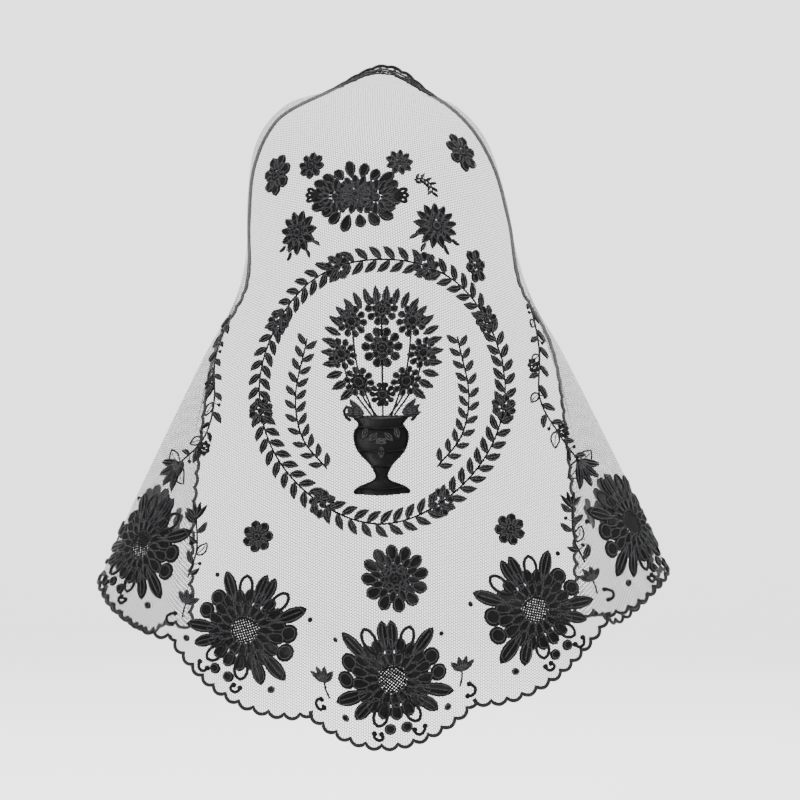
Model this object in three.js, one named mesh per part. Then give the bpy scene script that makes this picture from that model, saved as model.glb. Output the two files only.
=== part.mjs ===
// A lace mantilla veil, hollow as it hangs when worn: a net ground, a scalloped edge and raised embroidery.
// Millimetres, +Z up. The wearer faces +Y, and the origin is the point of the crown that the net lies on.
import * as THREE from "three";

// The hang of the net: where it passes the head, the shoulders and the chest.
const HEAD_HALF_WIDTH = 102; // at the widest part of the head
const HEAD_DEPTH = 113; // from the crown back to the hair
const HEAD_DROP = 105; // from the crown down to the widest part
const HEAD_LEAN = 10; // the top of the head leans this far to the left
const BACK_DROP = 470; // from the crown down to the middle of the back hem
const BACK_REACH = 142; // from the crown back to the middle of the back hem
const SHOULDER_HALF_WIDTH = 207; // at the hem over the shoulders
const SHOULDER_DROP = 358; // from the crown down to the hem over the shoulders
const SHOULDER_SETBACK = 26; // from the crown back to the widest part of the hem
const SHOULDER_TILT = 5; // the hem is this much higher on the right, and lower on the left
const FRONT_DROP = 440; // from the crown down to the ends of the front edge
const FRONT_REACH = 92; // from the crown forward to the ends of the front edge
const FRONT_HALF_GAP = 150; // half the distance between the two ends of the front edge
const SHOULDER_ROUNDING = 0.7; // over the shoulder the net runs straight at 0, and as an ellipse at 1
const SHOULDER_CLIMB = 1.7; // over 1, the hem stays low round the back and climbs near the shoulders
const PEAK_RISE = 20; // the middle of the front edge stands this far above the crown
const PEAK_REACH = 58; // and this far in front of it
const CROWN_CLIMB = 0.4; // share of that rise half way there
const LEAN_DEPTH = 1.5; // the lean fades out this many head drops below the crown

// The cloth and its edge.
const NET_WALL = 1;
const LIFT = 0.9; // clearance between the net's outer face and the embroidery
const PAD_WALL = 1.4; // thickness of the embroidery
const LOBE_PITCH = 121; // from one large lobe of the hem to the next
const LOBE_DEPTH = 16;
const LOBE_BLUNTNESS = 0.6; // under 1, broad lobes with narrow notches between them
const LOBE_SHIFT = 8; // the middle lobe is this far to the right
const CORNER_CUT = 46; // length taken off the net at each front corner
const CORNER_SHARE = 0.24; // share of the half width that the rounding of the corner takes
const SCALLOP_PITCH = 11; // the edge's small scallops
const SCALLOP_DEPTH = 3.4;
const EDGE_WIDTH = 5; // the scalloped edge over the net
const EDGE_OVERHANG = 1.2; // the scalloped edge past the net, between two scallops
// The net just inside the hem, and just inside the front edge, which turns at the peak.
const INSIDE_HEM = { across: 0.995, down: 0.97 };
const INSIDE_FRONT = { across: 0.98, leastDown: 0.03, turnDown: 0.0625 };

// The embroidery.
const FLOWER_RADIUS = 37; // the large flower in each lobe of the hem
const FLOWER_CLEARANCE = 2; // between a large flower and the scalloped edge
const SIDE_FLOWERS = 2; // large flowers on each side of the middle one
const HEM_PETALS = 12;
const CENTRE_SHARE = 0.36; // a flower's open middle, as a share of its radius
const VALLEY_SHARE = 0.84; // how deep the cuts between its petals go
const STEM_HALF_WIDTH = 1.3;
const LEAF_LENGTH = 11; // from a stem out to the tip of its leaf
const LEAF_PITCH = 20; // from one pair of leaves to the next

// Facets.
const NET_ROWS = 38;
const FACET = 20; // greatest length of a facet across the net or a wide piece
const EDGE_STEPS = 240; // along the hem, and along each half of the front edge
const WREATH_STEPS = 24;
const SPLINE_STEPS = 20; // between two places of a stem
const GUIDE_STEPS = 800; // for measuring along a guide line
const FRAME_STEP = 0.004; // share of the net for taking its directions
const LEAST_DOWN = 0.02; // nearest to the peak for taking them
const AHEAD_SHARE = 0.4; // of a step, for a line's direction
const SCALLOP_POINTS = 3; // in each small scallop
const PETAL_POINTS = 3; // in each petal
// A stem's outline over one pair of leaves: shares of a leaf's length on each side.
const LEAF_SIDES = [
  { left: 0, right: 0.45 },
  { left: 0.9, right: 0 },
  { left: 0.45, right: 0 },
  { left: 0, right: 0.9 },
];
const GRID_ROWS = 90;
const GRID_COLUMNS = 72; // in each half
const SECTION_STEPS = 72; // in each quarter of a section

// The middle line of the back over the head, by the angle from the crown.
const BACK_OVER_HEAD = [26, 52, 78].map(THREE.MathUtils.degToRad);
// Below the head each guide runs to its hem point: shares of the way, and of its length to bulge by.
const BACK_HANG = [
  { way: 0.2, out: 0, back: 0.02 },
  { way: 0.45, out: 0, back: -0.005 },
  { way: 0.72, out: 0, back: -0.01 },
];
// The line over the side of the head: shares of the half width, of the peak's reach and of the head's drop.
const RIDGE_OVER_HEAD = [
  { across: 0.33, ahead: 0.5, drop: 0.01 },
  { across: 0.62, ahead: 0.12, drop: 0.13 },
  { across: 0.83, ahead: -0.1, drop: 0.39 },
  { across: 0.93, ahead: -0.18, drop: 0.8 },
  { across: 1.0, ahead: -0.2, drop: 1.36 },
];
const RIDGE_HANG = [
  { way: 0.25, out: 0.01, back: 0 },
  { way: 0.5, out: 0.012, back: 0 },
  { way: 0.75, out: 0.01, back: 0 },
];
// The front edge past the temple: shares of the half width, of the peak's reach and of the head's drop.
const FRONT_OVER_HEAD = [
  { across: 0.36, ahead: 1.06, drop: -0.02 },
  { across: 0.68, ahead: 1.03, drop: 0.18 },
  { across: 0.87, ahead: 0.93, drop: 0.5 },
  { across: 0.95, ahead: 0.84, drop: 0.9 },
  { across: 1, ahead: 0.8, drop: 1.35 },
];
const FRONT_HANG = [
  { way: 0.15, out: 0.05, back: 0.01 },
  { way: 0.3, out: 0.06, back: 0.03 },
  { way: 0.6, out: 0.05, back: 0.03 },
  { way: 0.8, out: 0.03, back: 0.01 },
];
// Folds in the net, by share of the way from the peak to the hem: shares of the shoulder's half width.
const FRONT_FOLDS = 1.5; // between the side line and the front edge
const BACK_FOLDS = 3; // between the middle of the back and the side line
const FOLD_ONSET = 0.25; // share of the front half over which its folds begin
const FOLD_ROWS = [
  { down: 0.35, front: 0, back: 0 },
  { down: 0.6, front: 0.01, back: 0.004 },
  { down: 1, front: 0.024, back: 0.012 },
];

// Places of the pieces on the net. Down runs from the peak, 0, to the hem, 1, and across from the left front
// edge, -1, past the middle line, 0, to the right one, 1. Sizes are shares of the large flower's radius.
const FLOWERS = [
  { name: "lower_flower", across: 0.026, down: 0.81, size: 0.66, tall: 1, petals: 10, open: true },
  { name: "crown_spray", across: -0.066, down: 0.358, size: 0.93, tall: 0.62, petals: 9, open: true },
  { name: "star_flower", across: 0.088, down: 0.315, size: 0.28, tall: 1, petals: 6, open: false },
  { name: "crown_flower_right", across: 0.183, down: 0.398, size: 0.47, tall: 1, petals: 7, open: false },
  { name: "crown_flower_left", across: -0.272, down: 0.408, size: 0.45, tall: 1, petals: 7, open: false },
  { name: "top_flower_left", across: -0.215, down: 0.318, size: 0.28, tall: 1, petals: 6, open: false },
  { name: "temple_flower_left", across: -0.37, down: 0.329, size: 0.39, tall: 1.1, petals: 7, open: false },
  { name: "temple_flower_right", across: 0.345, down: 0.297, size: 0.37, tall: 1.2, petals: 7, open: false },
  { name: "side_bud_right", across: 0.315, down: 0.457, size: 0.26, tall: 1.4, petals: 5, open: false },
  { name: "back_blossom_left", across: -0.267, down: 0.8, size: 0.32, tall: 1, petals: 6, open: false },
  { name: "back_blossom_right", across: 0.275, down: 0.8, size: 0.32, tall: 1, petals: 6, open: false },
];
// The flowers that both halves have alike, on the right half.
const PAIRED_FLOWERS = [
  { name: "front_flower", across: 0.76, down: 0.85, size: 0.68, tall: 1, petals: 10, open: true },
  { name: "corner_flower", across: 0.91, down: 0.8, size: 0.33, tall: 1, petals: 7, open: false },
];
// Leafy stems, by the places that they pass.
const STEMS = {
  crown_tendril: [
    { across: 0.13, down: 0.338 },
    { across: 0.16, down: 0.337 },
    { across: 0.185, down: 0.345 },
    { across: 0.187, down: 0.358 },
  ],
  side_vine_left: [
    { across: -0.6, down: 0.545 },
    { across: -0.55, down: 0.61 },
    { across: -0.48, down: 0.665 },
    { across: -0.47, down: 0.72 },
    { across: -0.52, down: 0.775 },
  ],
  side_vine_right: [
    { across: 0.58, down: 0.53 },
    { across: 0.5, down: 0.6 },
    { across: 0.44, down: 0.66 },
    { across: 0.46, down: 0.72 },
    { across: 0.49, down: 0.775 },
  ],
  hem_sprig_left: [
    { across: -0.395, down: 0.9 },
    { across: -0.395, down: 0.86 },
    { across: -0.42, down: 0.82 },
  ],
  hem_sprig_right: [
    { across: 0.415, down: 0.9 },
    { across: 0.41, down: 0.86 },
    { across: 0.43, down: 0.82 },
  ],
  urn_sprig_left: [
    { across: -0.13, down: 0.69 },
    { across: -0.2, down: 0.66 },
    { across: -0.23, down: 0.61 },
    { across: -0.215, down: 0.54 },
  ],
  urn_sprig_right: [
    { across: 0.13, down: 0.69 },
    { across: 0.2, down: 0.66 },
    { across: 0.23, down: 0.61 },
    { across: 0.215, down: 0.54 },
  ],
};
// The wreath on the back, the urn inside it and the flowers in the urn.
const WREATH = { across: 0, down: 0.59, halfAcross: 0.35, halfDown: 0.155 };
const URN = [
  { down: 0.712, half: 0.5 },
  { down: 0.704, half: 0.44 },
  { down: 0.692, half: 0.12 },
  { down: 0.677, half: 0.2 },
  { down: 0.66, half: 0.48 },
  { down: 0.642, half: 0.56 },
  { down: 0.63, half: 0.46 },
  { down: 0.622, half: 0.6 },
];
const BOUQUET = [
  { down: 0.616, half: 0.5 },
  { down: 0.596, half: 0.9 },
  { down: 0.577, half: 1.0 },
  { down: 0.557, half: 1.12 },
  { down: 0.537, half: 1.05 },
  { down: 0.517, half: 1.08 },
  { down: 0.499, half: 0.85 },
  { down: 0.484, half: 0.7 },
  { down: 0.472, half: 0.35 },
];

const { clamp, lerp } = THREE.MathUtils;
const ease = (t) => clamp(t, 0, 1) ** 2 * (3 - 2 * clamp(t, 0, 1));

// A value of a table's column between its rows.
function column(rows, key, name, at) {
  const next = rows.findIndex((row) => row[key] >= at);
  if (next === 0) return rows[0][name];
  if (next < 0) return rows[rows.length - 1][name];
  const [a, b] = [rows[next - 1], rows[next]];
  return lerp(a[name], b[name], ease((at - a[key]) / (b[key] - a[key])));
}

// A guide line on the right half of the net, from the peak over the head and down to the hem. The front edge
// runs level through the peak to its mirrored other half.
function guide(overHead, hang, hem, throughPeak) {
  const peak = new THREE.Vector3(0, PEAK_REACH, PEAK_RISE);
  const start = overHead[overHead.length - 1];
  const length = start.distanceTo(hem);
  const below = hang.map(({ way, out, back }) =>
    start.clone().lerp(hem, way).add(new THREE.Vector3(out * length, -back * length, 0)),
  );
  const points = [...overHead, ...below, hem];
  const otherHalf = throughPeak ? points.map(({ x, y, z }) => new THREE.Vector3(-x, y, z)).reverse() : [];
  const line = new THREE.CatmullRomCurve3([...otherHalf, peak, ...points], false, "catmullrom", 0.5);
  line.arcLengthDivisions = GUIDE_STEPS;
  return (down) => line.getPointAt(throughPeak ? (1 + down) / 2 : down);
}

const overSide = ({ across, ahead, drop }) =>
  new THREE.Vector3(HEAD_HALF_WIDTH * across, PEAK_REACH * ahead, -HEAD_DROP * drop);
const backOverHead = BACK_OVER_HEAD.map(
  (angle) => new THREE.Vector3(0, -HEAD_DEPTH * Math.sin(angle), -HEAD_DROP * (1 - Math.cos(angle))),
);
const beforeCrown = new THREE.Vector3(0, PEAK_REACH / 2, PEAK_RISE * CROWN_CLIMB);
const guides = [
  guide(
    [beforeCrown, new THREE.Vector3(), ...backOverHead],
    BACK_HANG,
    new THREE.Vector3(0, -BACK_REACH, -BACK_DROP),
    false,
  ),
  guide(
    RIDGE_OVER_HEAD.map(overSide),
    RIDGE_HANG,
    new THREE.Vector3(SHOULDER_HALF_WIDTH, -SHOULDER_SETBACK, -SHOULDER_DROP),
    false,
  ),
  guide(
    FRONT_OVER_HEAD.map(overSide),
    FRONT_HANG,
    new THREE.Vector3(FRONT_HALF_GAP, FRONT_REACH, -FRONT_DROP),
    true,
  ),
];

// Half a section across the net: a quarter of an ellipse round the back, then forward, with folds on both.
function halfSection(down) {
  const [back, ridge, front] = guides.map((pointAt) => pointAt(down));
  const frontFold = column(FOLD_ROWS, "down", "front", down) * SHOULDER_HALF_WIDTH;
  const backFold = column(FOLD_ROWS, "down", "back", down) * SHOULDER_HALF_WIDTH;
  const points = [];
  for (let i = 0; i <= 2 * SECTION_STEPS; i++) {
    const behind = i <= SECTION_STEPS;
    const share = behind ? i / SECTION_STEPS : i / SECTION_STEPS - 1;
    const [sine, cosine] = [Math.sin((share * Math.PI) / 2), Math.cos((share * Math.PI) / 2)];
    // Beside the head the front half runs straight to the front edge, and over the shoulders it rounds them.
    const rounding = ease((ridge.x - front.x) / HEAD_HALF_WIDTH) * SHOULDER_ROUNDING;
    const outward = behind
      ? new THREE.Vector3(sine, -cosine, 0)
      : new THREE.Vector3(cosine, sine * rounding, 0).normalize();
    const point = behind
      ? new THREE.Vector3(
          ridge.x * sine,
          lerp(ridge.y, back.y, cosine),
          lerp(back.z, ridge.z, sine ** SHOULDER_CLIMB),
        )
      : new THREE.Vector3(
          lerp(ridge.x, front.x, lerp(share, 1 - cosine, rounding)),
          lerp(ridge.y, front.y, lerp(share, sine, rounding)),
          lerp(ridge.z, front.z, share),
        );
    const wave = behind
      ? backFold * Math.cos(2 * Math.PI * BACK_FOLDS * share) * ease(1 - share)
      : frontFold * Math.sin(2 * Math.PI * FRONT_FOLDS * share) * ease(share / FOLD_ONSET);
    points.push(point.addScaledVector(outward, wave));
  }
  return points;
}

// The same polyline with points at equal shares of its length.
function evenly(points, steps) {
  const along = [0];
  for (let i = 1; i < points.length; i++) along.push(along[i - 1] + points[i].distanceTo(points[i - 1]));
  const length = along[along.length - 1];
  let next = 1;
  return Array.from({ length: steps + 1 }, (_, i) => {
    const at = (length * i) / steps;
    while (next < points.length - 1 && along[next] < at) next++;
    const share = (at - along[next - 1]) / (along[next] - along[next - 1] || 1);
    return points[next - 1].clone().lerp(points[next], clamp(share, 0, 1));
  });
}

const sections = Array.from({ length: GRID_ROWS + 1 }, (_, i) =>
  evenly(halfSection(i / GRID_ROWS), GRID_COLUMNS),
);

// The point at a place on the net. Past its edges the net runs straight on.
function onNet({ across, down }) {
  const [row, col] = [down * GRID_ROWS, Math.abs(across) * GRID_COLUMNS];
  const i = clamp(Math.floor(row), 0, GRID_ROWS - 1);
  const j = clamp(Math.floor(col), 0, GRID_COLUMNS - 1);
  const left = sections[i][j].clone().lerp(sections[i + 1][j], row - i);
  const right = sections[i][j + 1].clone().lerp(sections[i + 1][j + 1], row - i);
  const point = left.lerp(right, col - j);
  if (across < 0) point.x = -point.x;
  point.z += ((SHOULDER_TILT * point.x) / SHOULDER_HALF_WIDTH) * ease(down);
  // The head leans, but the peak of the front edge stays in the middle.
  const peakShare = ease((1 + point.z / PEAK_RISE) / 2) * ease(point.y / PEAK_REACH);
  point.x -= HEAD_LEAN * ease(1 + point.z / (LEAN_DEPTH * HEAD_DROP)) * (1 - peakShare);
  return point;
}

// The net's directions at a place: right and up along it as seen from behind, and out of it, with the place
// that lies u millimetres to the right and v up from there.
function frameAt(place) {
  const step = FRAME_STEP;
  const down = Math.max(place.down, LEAST_DOWN);
  const move = (a, d) => onNet({ across: place.across + a, down: down + d });
  const alongRow = move(step, 0).sub(move(-step, 0)).divideScalar(2 * step);
  const downwards = move(0, step).sub(move(0, -step)).divideScalar(2 * step);
  const out = downwards.clone().cross(alongRow).normalize();
  const right = alongRow.clone().normalize();
  const up = out.clone().cross(right);
  const shift = (u, v) => {
    const fallen = v / downwards.dot(up);
    const along = u - fallen * downwards.dot(right);
    return { across: place.across + along / alongRow.length(), down: place.down + fallen };
  };
  return { point: onNet(place), right, up, out, shift };
}
const beside = (place, u, v) => frameAt(place).shift(u, v);

// Triangles between two rows of points, which may have different numbers of them.
function zip(a, b) {
  const faces = [];
  let [i, j] = [0, 0];
  while (i < a.length - 1 || j < b.length - 1) {
    const sooner = (i + 1) * (b.length - 1) <= (j + 1) * (a.length - 1);
    const first = j === b.length - 1 || (i < a.length - 1 && sooner);
    faces.push(first ? [a[i], b[j], a[i + 1]] : [a[i], b[j], b[j + 1]]);
    if (first) i++;
    else j++;
  }
  return faces;
}

// One closed piece on the net, from rows of places or of points with their outward directions: a top and an
// underside at two heights above the net's inner face, and walls round them. Closed rows run right round.
function piece(name, rows, closed, low, high, material) {
  const frames = rows.flat().map((spot) => (spot.point ? spot : frameAt(spot)));
  const starts = rows.map((row, i) => rows.slice(0, i).reduce((sum, { length }) => sum + length, 0));
  const indices = rows.map((row, i) => row.map((_, j) => starts[i] + j).concat(closed ? [starts[i]] : []));
  let faces = indices.slice(1).flatMap((row, i) => zip(indices[i], row));
  const points = [high, low].flatMap((height) =>
    frames.map(({ point, out }) => point.clone().addScaledVector(out, height)),
  );
  const facing = faces.reduce((sum, [a, b, c]) => {
    const normal = points[b].clone().sub(points[a]).cross(points[c].clone().sub(points[a]));
    return sum + normal.dot(frames[a].out);
  }, 0);
  if (facing < 0) faces = faces.map(([a, b, c]) => [a, c, b]);
  const under = (i) => i + frames.length;
  const edges = faces.flatMap(([a, b, c]) => [[a, b], [b, c], [c, a]]);
  const directed = new Set(edges.map(([a, b]) => `${a} ${b}`));
  const walls = edges
    .filter(([a, b]) => !directed.has(`${b} ${a}`))
    .flatMap(([a, b]) => [[b, a, under(a)], [b, under(a), under(b)]]);
  const underside = faces.map(([a, b, c]) => [under(a), under(c), under(b)]);
  const geometry = new THREE.BufferGeometry().setFromPoints(points);
  geometry.setIndex([...faces, ...underside, ...walls].flat());
  geometry.computeVertexNormals();
  const mesh = new THREE.Mesh(geometry, material);
  mesh.name = name;
  return mesh;
}

const NET_LOOK = { color: 0x141416, roughness: 0.85, metalness: 0 };
const THREAD_LOOK = { color: 0x08080a, roughness: 0.42, metalness: 0 };
const netCloth = () => new THREE.MeshStandardMaterial(NET_LOOK);
const blackThread = () => new THREE.MeshStandardMaterial(THREAD_LOOK);
const raised = (name, rows, closed) =>
  piece(name, rows, closed, NET_WALL + LIFT, NET_WALL + LIFT + PAD_WALL, blackThread());

const halfLengths = sections.map((row) =>
  row.slice(1).reduce((sum, point, i) => sum + point.distanceTo(row[i]), 0),
);
const halfLengthAt = (down) => halfLengths[Math.round(clamp(down, 0, 1) * GRID_ROWS)];
const hemHalfLength = halfLengthAt(1);
const fall = sections.slice(1).reduce((sum, row, i) => sum + row[0].distanceTo(sections[i][0]), 0);

// How far down the net goes: large lobes along the hem, and rounded front corners.
function hemDown(across) {
  const along = across * hemHalfLength - LOBE_SHIFT;
  const lobe = Math.abs(Math.cos((Math.PI * along) / LOBE_PITCH)) ** LOBE_BLUNTNESS;
  const corner = ease((Math.abs(across) - 1 + CORNER_SHARE) / CORNER_SHARE) ** 2;
  return 1 - (LOBE_DEPTH * (1 - lobe) * (1 - corner) + CORNER_CUT * corner) / fall;
}

function netGround() {
  const rows = Array.from({ length: NET_ROWS + 1 }, (_, k) => {
    const share = k / NET_ROWS;
    const facet = k === NET_ROWS ? SCALLOP_PITCH : FACET;
    const half = Math.ceil(halfLengthAt(share) / facet);
    if (half === 0) return [{ across: 0, down: 0 }];
    return Array.from({ length: 2 * half + 1 }, (_, i) => {
      const across = i / half - 1;
      return { across, down: share * hemDown(across) };
    });
  });
  return piece("net_ground", rows, false, 0, NET_WALL, netCloth());
}

// For equal steps along a line of places: the place at a distance to its left or, below 0, to its right.
function stations(line, count, closed) {
  const points = line.map(onNet);
  const along = [0];
  for (let i = 1; i < points.length; i++) along.push(along[i - 1] + points[i].distanceTo(points[i - 1]));
  const length = along[along.length - 1];
  const placeAt = (share) => {
    const at = clamp(share, 0, 1) * length;
    const next = clamp(along.findIndex((value) => value >= at), 1, points.length - 1);
    const t = (at - along[next - 1]) / (along[next] - along[next - 1]);
    const [a, b] = [line[next - 1], line[next]];
    return { across: lerp(a.across, b.across, t), down: lerp(a.down, b.down, t) };
  };
  const wrap = (share) => (closed ? (share + 1) % 1 : share);
  return Array.from({ length: closed ? count : count + 1 }, (_, i) => {
    const place = placeAt(i / count);
    const reach = AHEAD_SHARE / count;
    const ahead = onNet(placeAt(wrap(i / count + reach))).sub(onNet(placeAt(wrap(i / count - reach))));
    const { right, up, shift } = frameAt(place);
    const way = new THREE.Vector2(ahead.dot(right), ahead.dot(up)).normalize();
    return (distance) => shift(-way.y * distance, way.x * distance);
  });
}
const lengthOf = (line) =>
  line.slice(1).reduce((sum, place, i) => sum + onNet(place).distanceTo(onNet(line[i])), 0);

// The scalloped edge, all round the net: along the hem from left to right, and back over the front edge.
function scallopedEdge() {
  const shares = Array.from({ length: EDGE_STEPS }, (_, i) => i / EDGE_STEPS);
  const line = [
    ...shares.map((share) => ({ across: 2 * share - 1, down: hemDown(2 * share - 1) })),
    ...shares.map((share) => ({ across: 1, down: hemDown(1) * (1 - share) })),
    ...shares.map((share) => ({ across: -1, down: hemDown(1) * share })),
  ];
  const points = line.map(onNet);
  // The net just inside each of these points.
  const inside = line.map(({ across, down }, i) =>
    onNet(i < EDGE_STEPS
      ? { across: across * INSIDE_HEM.across, down: down * INSIDE_HEM.down }
      : {
          across: across * INSIDE_FRONT.across * ease(down / INSIDE_FRONT.turnDown),
          down: Math.max(down, INSIDE_FRONT.leastDown),
        }),
  );
  const loop = new THREE.CatmullRomCurve3(points, true);
  loop.arcLengthDivisions = 2 * points.length;
  const scallops = Math.round(loop.getLength() / SCALLOP_PITCH);
  const count = scallops * SCALLOP_POINTS;
  const outline = Array.from({ length: count }, (_, i) => {
    const point = loop.getPointAt(i / count);
    const nearest = points.reduce((best, other, k) =>
      (other.distanceToSquared(point) < points[best].distanceToSquared(point) ? k : best), 0);
    const ahead = loop.getTangentAt(i / count);
    const out = ahead.clone().cross(inside[nearest].clone().sub(point)).normalize();
    const inwards = out.clone().cross(ahead);
    return (distance) => ({ point: point.clone().addScaledVector(inwards, distance), out });
  });
  const outer = outline.map((spot, i) => spot(-EDGE_OVERHANG - (i % SCALLOP_POINTS ? SCALLOP_DEPTH : 0)));
  const inner = outline.filter((_, i) => i % SCALLOP_POINTS === 0).map((spot) => spot(EDGE_WIDTH));
  return raised("scalloped_edge", [inner, outer], true);
}

// A flower of rounded petals, with an open middle or a closed one.
function flower({ name, across, down, size, tall, petals, open }) {
  const { shift } = frameAt({ across, down });
  const radius = FLOWER_RADIUS * size;
  const ring = (share, count, valleys) =>
    Array.from({ length: count }, (_, i) => {
      const turn = (2 * Math.PI * (i + 0.5)) / count;
      const reach = radius * share * (valleys && i % PETAL_POINTS === 0 ? VALLEY_SHARE : 1);
      return shift(reach * Math.cos(turn), reach * tall * Math.sin(turn));
    });
  const rings = [ring(1, petals * PETAL_POINTS, true)];
  const inner = open ? CENTRE_SHARE : 0;
  if (radius * (1 - inner) > FACET) rings.push(ring((1 + inner) / 2, petals, false));
  rings.push(open ? ring(CENTRE_SHARE, petals, false) : [{ across, down }]);
  return raised(name, rings, true);
}

// A stem with leaves on both sides in turn.
function stem(name, line, closed) {
  const places = line.map(({ across, down }) => new THREE.Vector3(across, down, 0));
  const curve = new THREE.CatmullRomCurve3(places, closed);
  const smooth = curve.getPoints(SPLINE_STEPS * line.length).map(({ x, y }) => ({ across: x, down: y }));
  const leaves = Math.max(1, Math.round(lengthOf(smooth) / LEAF_PITCH));
  const steps = stations(smooth, leaves * LEAF_SIDES.length, closed);
  const edge = (side) =>
    steps.map((left, i) => {
      const reach = STEM_HALF_WIDTH + LEAF_LENGTH * LEAF_SIDES[i % LEAF_SIDES.length][side];
      return left(side === "left" ? reach : -reach);
    });
  return raised(name, [edge("left"), edge("right")], closed);
}

// An upright form about the middle line, from a table of half widths.
function upright(name, table) {
  const widest = Math.max(...table.map(({ half }) => half)) * FLOWER_RADIUS;
  const columns = Math.ceil((2 * widest) / FACET);
  const rows = table.map(({ down, half }) =>
    Array.from({ length: columns + 1 }, (_, i) => {
      const reach = lerp(-1, 1, i / columns) * half * FLOWER_RADIUS;
      return beside({ across: 0, down }, reach, 0);
    }),
  );
  return raised(name, rows, false);
}

// The large flowers along the hem, one in the middle of each lobe.
function hemFlowers() {
  const middle = FLOWER_RADIUS + FLOWER_CLEARANCE + EDGE_WIDTH;
  const sides = Array.from({ length: 2 * SIDE_FLOWERS + 1 }, (_, i) => i - SIDE_FLOWERS);
  return sides.map((side) => {
    const across = (side * LOBE_PITCH + LOBE_SHIFT) / hemHalfLength;
    const { down } = beside({ across, down: hemDown(across) }, 0, middle);
    const hand = side < 0 ? "left" : "right";
    const name = side === 0 ? "hem_flower_middle" : `hem_flower_${hand}_${Math.abs(side)}`;
    return flower({ name, across, down, size: 1, tall: 1, petals: HEM_PETALS, open: true });
  });
}

// The wreath: a leafy ring about the middle of the back.
function wreath() {
  const line = Array.from({ length: WREATH_STEPS }, (_, i) => {
    const turn = (2 * Math.PI * i) / WREATH_STEPS;
    return {
      across: WREATH.across + WREATH.halfAcross * Math.cos(turn),
      down: WREATH.down - WREATH.halfDown * Math.sin(turn),
    };
  });
  return stem("wreath", line, true);
}

const group = new THREE.Group();
group.add(netGround(), scallopedEdge(), ...hemFlowers());
group.add(...FLOWERS.map(flower));
for (const row of PAIRED_FLOWERS) {
  group.add(flower({ ...row, name: `${row.name}_right` }));
  group.add(flower({ ...row, name: `${row.name}_left`, across: -row.across }));
}
group.add(...Object.entries(STEMS).map(([name, line]) => stem(name, line, false)));
group.add(wreath(), upright("urn", URN), upright("bouquet", BOUQUET));

export default group;
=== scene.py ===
import math
from math import pi, radians

import bmesh
import bpy
import numpy as np
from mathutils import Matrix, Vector
from mathutils.bvhtree import BVHTree

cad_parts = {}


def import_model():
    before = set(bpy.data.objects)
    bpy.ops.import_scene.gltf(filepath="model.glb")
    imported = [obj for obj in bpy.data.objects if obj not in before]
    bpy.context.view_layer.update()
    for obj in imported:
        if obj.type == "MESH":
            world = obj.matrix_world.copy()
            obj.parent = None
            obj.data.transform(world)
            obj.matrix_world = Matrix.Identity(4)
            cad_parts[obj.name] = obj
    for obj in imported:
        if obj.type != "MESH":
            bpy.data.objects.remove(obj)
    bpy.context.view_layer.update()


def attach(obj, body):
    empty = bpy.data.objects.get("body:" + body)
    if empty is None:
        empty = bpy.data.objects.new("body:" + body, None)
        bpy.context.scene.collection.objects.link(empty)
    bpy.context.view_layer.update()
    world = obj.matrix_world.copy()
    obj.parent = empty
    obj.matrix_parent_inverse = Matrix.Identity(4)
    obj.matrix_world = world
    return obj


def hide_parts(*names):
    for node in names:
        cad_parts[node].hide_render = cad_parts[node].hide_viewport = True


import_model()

# A black lace mantilla veil as it hangs when worn. Metres, +Z up, the wearer faces +Y.

# The hang of the net, with the sizes of the CAD part.
HEAD_HALF_WIDTH = 0.102
HEAD_DEPTH = 0.113  # from the crown back to the hair
HEAD_DROP = 0.105  # from the crown down to the widest part
HEAD_LEAN = 0.010  # the top of the head leans this far to the left
LEAN_DEPTH = 1.5  # the lean fades out this many head drops below the crown
BACK_DROP = 0.470
BACK_REACH = 0.142
SHOULDER_HALF_WIDTH = 0.207
SHOULDER_DROP = 0.358
SHOULDER_SETBACK = 0.026
SHOULDER_TILT = 0.005  # the hem is this much higher on the right, and lower on the left
SHOULDER_ROUNDING = 0.7  # over the shoulder the net runs straight at 0, and as an ellipse at 1
SHOULDER_CLIMB = 1.7  # over 1, the hem stays low round the back and climbs near the shoulders
FRONT_DROP = 0.440
FRONT_REACH = 0.092
FRONT_HALF_GAP = 0.150
PEAK_RISE = 0.020  # the middle of the front edge stands this far above the crown
PEAK_REACH = 0.058  # and this far in front of it
CROWN_CLIMB = 0.4  # share of that rise half way there
NET_WALL = 0.001
LOBE_PITCH = 0.121
LOBE_DEPTH = 0.016
LOBE_BLUNTNESS = 0.6  # under 1, broad lobes with narrow notches between them
LOBE_SHIFT = 0.008
CORNER_CUT = 0.046
CORNER_SHARE = 0.24
SCALLOP_PITCH = 0.011
SCALLOP_DEPTH = 0.0034
EDGE_WIDTH = 0.005
EDGE_OVERHANG = 0.0012  # the margin past the net, between two scallops
FLOWER_RADIUS = 0.037
FLOWER_CLEARANCE = 0.002

# Threads.
CORD_RADIUS = 0.00135
LOOP_RADIUS = 0.0013
STEM_RADIUS = 0.0007
OUTLINE_RADIUS = 0.00042
LATTICE_RADIUS = 0.0006
LATTICE_PITCH = 0.0019
PAD_HEIGHT = 0.0013
PAD_SINK = 0.0002  # the rim of a pad lies this deep in the net
STITCH = 0.0008  # from one ridge of a pad to the next
LEAST_CONTOURED = 0.0044
CONTOUR_SHARE = 0.68  # how far out on a pad its contour lies
CONTOUR_HEIGHT = 0.75 * PAD_HEIGHT
MESH_PITCH = 0.0017
MM = 0.001
OUTLINE_UV = 100  # added to the second UV of thin outlines, which get a painted highlight in their base colour

# The steps of the net's surface.
GRID_ROWS = 180
GRID_COLUMNS = 144
SECTION_STEPS = 144
SLOPE_STEP = 0.008  # share of the net for taking its directions
LEAST_DOWN = 2.5 * SLOPE_STEP
TINY = 1e-12  # keeps a line of no length from dividing by nothing

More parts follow.
